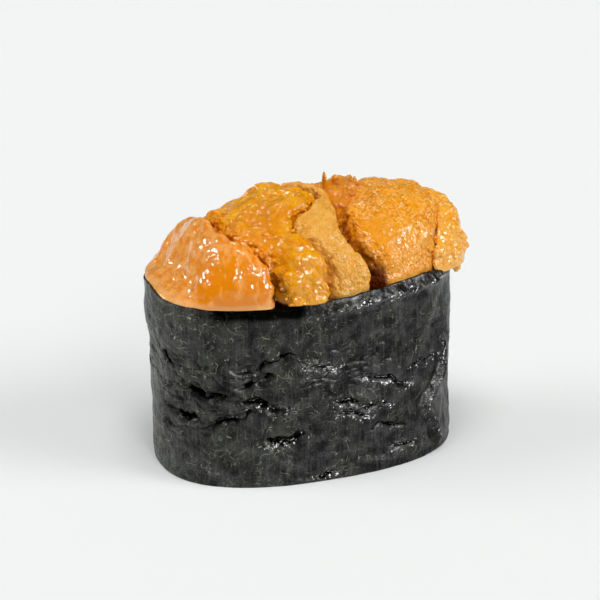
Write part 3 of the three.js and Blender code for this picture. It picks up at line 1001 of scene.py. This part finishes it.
# %% Sizes of the lobes
WAIST = 32.2  # height where a lobe is widest, just above the rim
LOBE_FLOOR = 24.3
FRONT_TO_BACK_POWER = 2.3  # how square a lobe is from front over the top to the back
NOTCH = 0.4  # mean depth of the notches along a torn side
NOTCH_SIZE = 1.6
SIDE_GAP = (0.08, 0.08)  # room at the left and right side of a lobe that names none
LOBE_INSET = 1.0  # room between a lobe and the oval below the rim
SPREAD_START = 31.3
SPREAD_RISE = 0.9
LOBES = {
    # clefts: the two that bound it. powers: how square its left and right sides are, in front and
    # on top. gap: room at its left and right side, below zero where it presses into the next.
    # crest: its height along the band. front: where it starts, if not at the front. skew: how far
    # its middle is drawn forward. overhang: how far its free end passes the end of the band, below
    # zero to the left. over: how far it swells over the rim. rows: rings up its left side, over
    # the top and down its right side. columns: points of a ring.
    "uni_left": {
        "clefts": ("left_end", "left_middle"),
        "powers": ((4.5, 2.0), (7, 6)),
        "crest": [[-28, 32.8], [-25, 33.3], [-22, 35.2], [-20.5, 37.7], [-19, 40.1], [-17, 42.1],
                  [-15, 43.0], [-10, 43.6], [-6, 42.6]],
        "skew": 0.15,
        "overhang": -1.1,
        "over": 0.7,
        "rows": (60, 120, 24),
        "columns": 440,
    },
    "uni_middle": {
        "clefts": ("left_middle", "middle_fold"),
        "powers": ((7, 7), (8, 9)),
        "crest": [[-20, 39.8], [-15, 41.6], [-10, 42.8], [-5, 45.2], [0, 45.2], [4, 44.6]],
        "over": 0.2,
        "rows": (28, 150, 20),
        "columns": 460,
    },
    "uni_fold": {
        "clefts": ("middle_fold", "fold_right"),
        "powers": ((8, 9), (8, 4.5)),
        "gap": (0.0, 0.6),
        "crest": [[-4, 44.6], [0, 44.8], [4, 44.4], [7, 43.2], [10, 42]],
        "over": -0.2,
        "rows": (20, 100, 30),
        "columns": 460,
    },
    "uni_back": {
        "clefts": ("fold_right", "back_right"),
        "powers": ((5, 5), (9, 9)),
        "front": -0.22,
        "gap": (0.08, -1.3),
        "crest": [[0, 43.2], [6, 43.2], [9, 43.6], [12, 44.6]],
        "over": 0.0,
        "rows": (24, 90, 24),
        "columns": 260,
    },
    "uni_right": {
        "clefts": ("back_right", "right_tail"),
        "powers": ((9, 7), (16, 16)),
        "gap": (0.3, -0.3),
        "crest": [[6, 43.9], [9, 42.8], [13, 44.2], [17, 44.3], [20, 43.6], [24, 41.5]],
        "over": -0.6,
        "rows": (36, 140, 20),
        "columns": 460,
    },
    "uni_tail": {
        "clefts": ("right_tail", "right_end"),
        "powers": ((16, 16), (4.5, 2.0)),
        "gap": (-0.3, 0.08),
        "crest": [[20, 42.4], [24, 41.5], [27, 41.0], [29, 40.2]],
        "overhang": 3.7,
        "over": 0.2,
        "rows": (20, 70, 60),
        "columns": 400,
    },
}
print("lobes:", list(LOBES))


# %% The surface of a lobe
def lobe_surface(lobe, torn, direction):
    """Points of a lobe for unit directions, and how far along and up its block each one lies.

    A direction is put on a block with round edges: (|b|^q + |c|^q)^(p/q) + |a|^p = 1, where a runs
    along the band, b across it and c up from the waist. Then a is laid between the two clefts, b
    between the front and back rims, and c between the floor and the crest."""
    d = np.moveaxis(direction, -1, 0)
    q = FRONT_TO_BACK_POWER
    upright = np.abs(d[2]) / (np.hypot(d[1], d[2]) + 1e-9)
    p = np.where(d[0] < 0, *(mix(*side, upright) for side in lobe["powers"]))
    profile = np.abs(d[1]) ** q + np.abs(d[2]) ** q
    a, b, c = d / (profile ** (p / q) + np.abs(d[0]) ** p) ** (1 / p)
    skewed = b - lobe.get("skew", 0) * (1 - b * b)
    across = mix(lobe.get("front", -1), 1, (skewed + 1) / 2)
    torn_line = np.stack([across * RIM["width"], 0 * across, 0 * across + len(lobe["crest"])], axis=-1)
    notch = np.stack([1 + swells(torn_line, NOTCH_SIZE, seed, 3) for seed in (3, 5)])
    gap = np.array(lobe.get("gap", SIDE_GAP))[:, None, None]
    notch = (gap + NOTCH * np.array(torn)[:, None, None] * notch) / RIM["length"]
    left, right = (CLEFTS[name](across) for name in lobe["clefts"])
    along = mix(left + notch[0], right - notch[1], (a + 1) / 2)
    overhang = lobe.get("overhang", 0)
    free_side = -1 if overhang < 0 else 1
    overhang = overhang * (1 + free_side * a) / 2
    top = curve(lobe["crest"])(RIM["x"] + RIM["length"] * along + overhang)
    z = np.where(c > 0, mix(WAIST, top, c), mix(WAIST, LOBE_FLOOR, -c))
    spread = smooth((z - SPREAD_START) / SPREAD_RISE)
    length, width, power, middle = oval_at(np.minimum(z, BAND_HEIGHT))
    length = length - LOBE_INSET * (1 - spread)
    width = width + mix(-LOBE_INSET, lobe["over"], spread)
    x = HEAP_SHIFT + middle + length * along + overhang * spread
    y = width * across * (1 - np.abs(along) ** power) ** (1 / power)
    return np.stack([x, y, z], axis=-1), a, c


def grid_normals(points):
    """Unit normals of a grid of rings, from the differences between neighbours."""
    down = np.gradient(points, axis=0)
    around = np.roll(points, -1, axis=1) - np.roll(points, 1, axis=1)
    normal = np.cross(down, around)
    normal /= np.linalg.norm(normal, axis=-1, keepdims=True) + 1e-12
    outwards = points - points.mean(axis=(0, 1))
    return normal * np.sign(np.sum(normal * outwards))


# %% [markdown]
# ## Roe: the skin
# Up close a lobe is packed with eggs about half a millimetre across under a wet film. Whole lobes
# also swell and dip, and where they were torn or pressed together they break up into clumps. Each
# lobe says how deep each of these is. Loose crumbs lie along the torn edges.

# %% What each lobe is like
SKINS = {
    # size and height of the eggs, height of soft lumps, dimples and clumps, how torn the left
    # and right sides are, how strong the painted shade in their clefts is, how far the film of brine
    # covers the lobe and the place where it gathers, number and size of crumbs, middle and radius of
    # the pool where the flesh is deep and smooth, and the height above which the nori no longer holds it.
    # A lobe without such a place or pool has it far down inside the rice, where nothing shows
    "uni_left": {"egg": 0.6, "rise": 0.04, "lump": 0.4, "dimple": 0.3, "clump": 0.08,
                 "torn": (0.0, 0.3), "painted_shade": (0.2, 0.8), "wet": 0.95, "gathers": ((-22, -6, 36), 6),
                 "crumbs": 8, "crumb": 0.15, "pool": ((-18, -13.3, 35.5), 5.5), "held": 31.4},
    "uni_middle": {"egg": 0.55, "rise": 0.08, "lump": 0.6, "dimple": 0.4, "clump": 0.4,
                   "torn": (0.9, 0.3), "painted_shade": (1.0, 0.3), "wet": 0.6, "gathers": ((-6.5, -14, 39.8), 4.2),
                   "crumbs": 90, "crumb": 0.34, "pool": ((-10, -7, 42.4), 6), "held": 31.4},
    "uni_fold": {"egg": 0.5, "rise": 0.1, "lump": 0.5, "dimple": 0.4, "clump": 0.3,
                 "torn": (0.45, 0.05), "painted_shade": (0.3, 0.9), "wet": 0.05, "gathers": ((0, 0, 20), 1),
                 "crumbs": 24, "crumb": 0.3, "pool": ((0, 0, 20), 1), "held": 32.4},
    "uni_back": {"egg": 0.6, "rise": 0.14, "lump": 0.5, "dimple": 0.5, "clump": 0.7,
                 "torn": (0.8, 0.3), "painted_shade": (0.6, 0.5), "wet": 0.65, "gathers": ((6, 4, 43), 4),
                 "crumbs": 60, "crumb": 0.36, "pool": ((6, 4, 42), 5), "held": 31.4},
    "uni_right": {"egg": 0.5, "rise": 0.09, "lump": 0.35, "dimple": 0.35, "clump": 0.22,
                  "torn": (0.45, 0.2), "painted_shade": (1.5, 0.15), "wet": 0.22, "gathers": ((11.3, -11, 40), 2.6),
                  "crumbs": 40, "crumb": 0.34, "pool": ((8, -9, 38), 4.5), "held": 33.0},
    "uni_tail": {"egg": 0.55, "rise": 0.1, "lump": 0.35, "dimple": 0.5, "clump": 0.5,
                 "torn": (0.25, 0.5), "painted_shade": (0.15, 0.3), "wet": 0.5, "gathers": ((21.4, -8.3, 38), 2.6),
                 "crumbs": 36, "crumb": 0.4, "pool": ((0, 0, 20), 1), "held": 32.6},
}
BLOBS = {
    # centres and radii of the drop that the tail sheds outside the band, and of two torn points
    "uni_tail": [((25.5, -2.6, 30.6), (1.25, 1.35, 2.2))],
    "uni_back": [((4.7, 5.0, 44.4), (0.3, 0.3, 1.3)), ((6.6, 5.0, 44.3), (0.55, 0.45, 1.0))],
}
print("crumbs:", sum(detail["crumbs"] for detail in SKINS.values()))

# %% The skin of a lobe
SEEN_COLUMNS = 0.82  # share of each ring's points that lie on the side that can be seen
SEEN_BELOW = 0.2  # how far that side reaches below the waist, as an angle
LUMP_SIZE = 6.5
LUMP_RISE = 3
DIMPLE_SIZE = 3.2
CLUMP_SIZE = 1.9
BEND_SIZE = 1.4  # noise that bends the clumps out of round, and how far it moves them
BEND_REACH = 0.7
FILM_PATCH = 5.0
RAGGED_EDGE = 3.5
EDGE_START, EDGE_WIDTH = 0.6, 0.35  # the torn edges of a lobe, as a share of its half width
FREE_RISE = 1.6
LIP_TOP, LIP_HEIGHT = 33.4, 1.0


def lobe_lumps(points, a, seed):
    """Broad swells of a lobe that grow from the waist up and die out at the clefts."""
    fade = smooth((points[..., 2] - WAIST) / LUMP_RISE) * (1 - np.abs(a) ** 6)
    return fade * swells(points, LUMP_SIZE, seed + 50, octaves=2)


def lobe_directions(rows, columns):
    """Unit directions on rings about x.

    The rings climb the left side of a square, cross its top and go down its right side, so that
    few of them are spent in the clefts. Most points of a ring lie on its upper half."""
    left, top, right = rows
    u = np.concatenate([np.full(left, -1.0), np.linspace(-1, 1, top), np.full(right, 1.0)])
    v = np.concatenate([np.linspace(0, 1, left + 1)[1:], np.ones(top), np.linspace(1, 0, right + 1)[:-1]])
    seen = int(columns * SEEN_COLUMNS)
    upper = np.linspace(-SEEN_BELOW, np.pi + SEEN_BELOW, seen, endpoint=False)
    lower = np.linspace(np.pi + SEEN_BELOW, 2 * np.pi - SEEN_BELOW, columns - seen, endpoint=False)
    turn = np.concatenate([upper, lower])
    d = np.stack([u[:, None] + 0 * turn, v[:, None] * np.cos(turn), v[:, None] * np.sin(turn)], axis=-1)
    return d / np.linalg.norm(d, axis=-1, keepdims=True)


def nearness(points, spot, seed):
    """1 at a spot, falling to 0 beyond its radius along a ragged edge."""
    centre, radius = spot
    away = np.linalg.norm(points - centre, axis=-1) / radius
    sheared = points + 0.8 * np.roll(points, 1, axis=-1)
    return smooth(1.5 - away - 0.35 * swells(sheared, RAGGED_EDGE, seed + 60, 3))


def with_eggs(points, normal, detail, seed, share):
    """Points raised by the eggs, least where the film of brine fills the gaps, and that film."""
    patches = swells(points, FILM_PATCH, seed + 40, octaves=2)
    film = smooth(0.5 + 1.2 * patches + (detail["wet"] - 0.5) * 1.6)
    film = np.maximum(film, 0.9 * nearness(points, detail["gathers"], seed))
    egg = grains(points, detail["egg"], seed + 20)
    fine = grains(points, detail["egg"] * 0.5, seed + 30)
    rise = detail["rise"] * (egg - 0.5 + 0.35 * (fine - 0.5)) * (1 - 0.8 * film)
    return points + normal * (share * rise)[..., None], film


def lobe_skin(name):
    """Rings of a finished lobe, its normals, where it is torn, and its material's numbers."""
    lobe, detail = LOBES[name], SKINS[name]
    seed = 100 * (1 + list(LOBES).index(name))
    directions = lobe_directions(lobe["rows"], lobe["columns"])
    points, a, c = lobe_surface(lobe, detail["torn"], directions)
    normal = grid_normals(points)
    edge = smooth((np.abs(a) - EDGE_START) / EDGE_WIDTH)
    torn = edge * np.where(a < 0, *detail["torn"])
    dimples = detail["dimple"] * swells(points, DIMPLE_SIZE, seed, octaves=2)
    bend = np.stack([swells(points, BEND_SIZE, seed + n, octaves=3) for n in (7, 8, 9)], axis=-1)
    bent = points + BEND_REACH * bend
    clumps = grains(bent, CLUMP_SIZE, seed + 10)
    small_clumps = grains(bent, CLUMP_SIZE * 0.5, seed + 11)
    ragged = (detail["clump"] + torn) * (clumps - 0.6) + 0.6 * torn * (small_clumps - 0.5)
    free = smooth((points[..., 2] - detail["held"]) / FREE_RISE)
    height = detail["lump"] * lobe_lumps(points, a, seed) + free * (dimples + ragged)
    points = points + normal * height[..., None]
    points, film = with_eggs(points, grid_normals(points), detail, seed, free)
    values = {
        "film": film,
        # Painted shade in the clefts, stronger low down.
        "deep": np.clip(edge * np.where(a < 0, *detail["painted_shade"]) * (0.85 - c), 0, 1),
        "pool": nearness(points, detail["pool"], seed),
        "lip": smooth((LIP_TOP - points[..., 2]) / LIP_HEIGHT),
    }
    breaks = np.clip(edge * 1.2, 0.02, 1) * free * (c > 0)
    return points, normal, breaks, values


# %% Crumbs along the torn edges
CRUMB_ROWS, CRUMB_COLUMNS = 7, 12
CRUMB_RISE = 0.1  # how far a crumb's middle stands off the lobe, as a share of its radius
BLOB_ROWS, BLOB_COLUMNS = 40, 60
BLOB_LUMPS = 1.6


def ball_skin(rows, columns):
    """A ball of radius 1 about x."""
    polar = np.pi * np.arange(1, rows + 1)[:, None] / (rows + 1)
    turn = 2 * np.pi * np.arange(columns)[None, :] / columns
    ring = np.sin(polar)
    rings = np.stack([-np.cos(polar) + 0 * turn, ring * np.cos(turn), ring * np.sin(turn)], axis=-1)
    vertices = with_ends(rings, (-1, 0, 0), (1, 0, 0))
    return vertices, *outward(vertices, *skin_faces(rows, columns))


def lumpy(vertices, centres, size, seed):
    """Blobs pushed out and in along their own radii by noise."""
    arm = vertices - centres
    return centres + arm * (1 + 0.65 * swells(vertices, size, seed, octaves=2))[:, None]


def crumbs_on(points, normal, torn, detail, seed):
    """Crumbs half sunk in a lobe, most of them where it is torn."""
    chance = np.random.default_rng(seed)
    weight = torn.ravel() / torn.sum()
    chosen = chance.choice(weight.size, detail["crumbs"], p=weight)
    radius = detail["crumb"] * chance.uniform(0.6, 1.3, detail["crumbs"])
    rise = normal.reshape(-1, 3)[chosen] * (CRUMB_RISE * radius)[:, None]
    places = points.reshape(-1, 3)[chosen] + rise
    skin = ball_skin(CRUMB_ROWS, CRUMB_COLUMNS)
    yaw, pitch = chance.uniform(0, np.pi, (2, detail["crumbs"]))
    vertices, quads, fans = copies(skin, places, yaw, pitch, radius)
    centres = np.repeat(places, len(skin[0]), axis=0)
    return lumpy(vertices, centres, 1.5 * detail["crumb"], seed), quads, fans


def blob_skin(centre, radii, seed):
    """A lumpy, egg-shaped blob."""
    vertices, quads, fans = ball_skin(BLOB_ROWS, BLOB_COLUMNS)
    vertices = np.array(centre) + vertices * radii
    return lumpy(vertices, np.array(centre), BLOB_LUMPS, seed), quads, fans


# %% [markdown]
# ## Roe: the finish
# Fresh roe is full of fat and water, so light goes in, scatters and comes out warmer. Its colour
# is the glow between the eggs as much as the eggs themselves. On that colour each egg's dome gets
# a painted highlight and the valleys between them painted shade, a deeper orange, and the clefts
# are painted dark. The flesh hardly mirrors, as brine is nearly as dense. What glints is the thin
# film of brine over it all, which has waves of its own, broader than the eggs.

# %% Roe material
BLOTCH = 1.7 * MM
PATCH = 2.0 * MM
FILM_WAVE = 2.2 * MM
FILM_DEPTH = 0.36 * MM


def uni_material(name, colours, egg_size, contrast, cover, stretch=(1, 1, 1)):
    """Fresh sea urchin roe: scattering flesh under a wet film.

    The colours are those of the egg tops, a painted highlight, of the valleys between them, a
    painted shade, of the flesh, of its blotches, of the clefts, a painted shade, and of the lip at
    the rim. The contrast is how strongly the painted highlight and shade on the eggs stand out, the
    cover is how much brine lies over them, and the blotches may be drawn out into streaks."""
    top, valley, flesh, blotch, painted_cleft_shade, lip_colour = colours
    material, tree, shader = new_material(name)
    place = object_place(tree)
    film, deep, lip, pool = (carried(tree, label) for label in ("film", "deep", "lip", "pool"))
    lowered = calculate(tree, "MULTIPLY", pool, 0.16)
    drawn = noise(tree, mapped(tree, place, scale=stretch), BLOTCH, 5)
    cloud = calculate(tree, "SUBTRACT", drawn, lowered)
    ground = blend(tree, share_of(tree, cloud, 0.37, 0.55), flesh, blotch)

    wobble = add_node(tree, "ShaderNodeTexNoise", inputs={"Vector": place, "Scale": 1 / (2 * egg_size)})
    reach = (1.6 * egg_size,) * 3
    warped = calculate_vector(tree, "MULTIPLY_ADD", wobble.outputs["Color"], reach, place)
    eggs = add_node(tree, "ShaderNodeTexVoronoi", inputs={"Vector": warped, "Scale": 1 / egg_size})
    distance = eggs.outputs["Distance"]
    own = add_node(tree, "ShaderNodeSeparateXYZ", inputs={0: eggs.outputs["Color"]}).outputs["X"]
    # Painted highlight on the dome of each egg and painted shade in the valleys between eggs.
    patchy = share_of(tree, noise(tree, place, PATCH, 2), 0.35, 0.65, 0.25 * contrast, 1.15 * contrast)
    shown = calculate(tree, "MULTIPLY", patchy, share_of(tree, pool, 0, 1, 1, 0.2))
    highlight_strength = calculate(tree, "MULTIPLY", shown, share_of(tree, own, 0.2, 1, 0.15, 1))
    painted_egg_highlight = calculate(tree, "MULTIPLY", share_of(tree, distance, 0.5, 0.2), highlight_strength)
    painted_egg_shade = calculate(tree, "MULTIPLY", share_of(tree, distance, 0.45, 0.85), shown)
    painted_egg_light_and_shade = blend(tree, painted_egg_shade, blend(tree, painted_egg_highlight, ground, top), valley)
    lipped = blend(tree, calculate(tree, "MULTIPLY", lip, 0.45), painted_egg_light_and_shade, lip_colour)

    dry = share_of(tree, film, 0, 1, 1, 0.03)
    finish = {
        # Painted shade: the clefts are drawn in a dark colour.
        "Base Color": blend(tree, share_of(tree, deep, 0.3, 0.95), lipped, painted_cleft_shade),
        "Roughness": 0.45,
        "IOR": 1.4,
        "Specular IOR Level": 0.1,
        "Normal": bumped(tree, distance, dry, 0.35 * egg_size, invert=True),
        "Subsurface Weight": 0.2,
        "Subsurface Radius": (1.0, 0.42, 0.12),
        "Subsurface Scale": 0.35 * MM,
        "Coat Weight": cover,
        "Coat Roughness": share_of(tree, film, 0, 1, 0.2, 0.07),
        "Coat IOR": 1.45,
        "Coat Normal": bumped(tree, noise(tree, place, FILM_WAVE, 1.5), 1.0, FILM_DEPTH),
    }
    set_inputs(tree, shader, finish)
    return material


# %% Finishes of the roe
# Colours of each finish: painted highlight on the egg tops, painted shade between the eggs, flesh,
# blotches, painted shade in the clefts, lip at the rim.
PINK = ("FFC268", "E07600", "F28C00", "FFAE58", "7A3404", "FFC888")
GOLDEN = ("FFC818", "CC7400", "F09400", "F8AA08", "6E3000", "FFB838")
OCHRE = ("FFE0A0", "C8882C", "EEA434", "F6B44C", "743C06", "FFC468")
ORANGE = ("FFCC50", "B85C00", "E28A00", "F09E04", "642A00", "F0A028")
GRAINY = ("FFE4A8", "D87C00", "F49C08", "FCAA30", "702C00", "FAB050")
PALE = ("FFE8B0", "E08C18", "FFA818", "FFB63C", "8A4404", "FFC060")
STREAKED = (1.5, 0.8, 0.7)
pink = uni_material("roe, pink-orange, wet", PINK, 0.5 * MM, 0.55, 1.0, STREAKED)
golden = uni_material("roe, golden, wet", GOLDEN, 0.48 * MM, 0.65, 1.0)
ochre = uni_material("roe, ochre, fine grained", OCHRE, 0.36 * MM, 0.5, 0.35)
orange = uni_material("roe, orange, torn", ORANGE, 0.48 * MM, 1.1, 1.0)
grainy = uni_material("roe, light orange, coarse", GRAINY, 0.45 * MM, 1.0, 0.6)
pale = uni_material("roe, pale orange, loose", PALE, 0.5 * MM, 0.8, 1.0)
FINISHES = {
    "uni_left": (pink, "uni_pink"),
    "uni_middle": (golden, "uni_golden"),
    "uni_fold": (ochre, "uni_ochre"),
    "uni_back": (orange, "uni_golden"),
    "uni_right": (grainy, "uni_grainy"),
    "uni_tail": (pale, "uni_grainy"),
}

# %% The lobes as meshes
LOOSE = {"film": 0.6, "deep": 0.0, "lip": 0.0, "pool": 0.0}  # the numbers of a crumb
for number, (name, (material, slot)) in enumerate(FINISHES.items()):
    detail = SKINS[name]
    rings, normal, torn, values = lobe_skin(name)
    skin = with_ends(rings, rings[0].mean(axis=0), rings[-1].mean(axis=0))
    skins = [(skin, *outward(skin, *skin_faces(*rings.shape[:2])))]
    loose = [crumbs_on(rings, normal, torn, detail, number)]
    loose += [blob_skin(*blob, number) for blob in BLOBS.get(name, [])]
    vertices, quads, fans = joined(skins + loose)
    added = sum(len(part[0]) for part in loose)
    padded = {
        label: np.concatenate([with_end_values(value), np.full(added, LOOSE[label])])
        for label, value in values.items()
    }
    piece = add_piece(name + "_roe", vertices, quads, fans, material, padded)
    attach(piece, "root")
    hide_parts(name)

# %% [markdown]
# ## Sizes
# The dressed model has to stay the size of the solids it stands for, so both boxes are put side
# by side, and how far the dressed one grew is printed, before the scene is finished.

# %% Sizes and finish
low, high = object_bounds()
sizes = {
    "cad_low": list(cad_low),
    "cad_high": list(cad_high),
    "visual_low": list(low),
    "visual_high": list(high),
}
print("grown by, mm:", [round((h - c) / MM, 2) for h, c in zip(high, cad_high)])
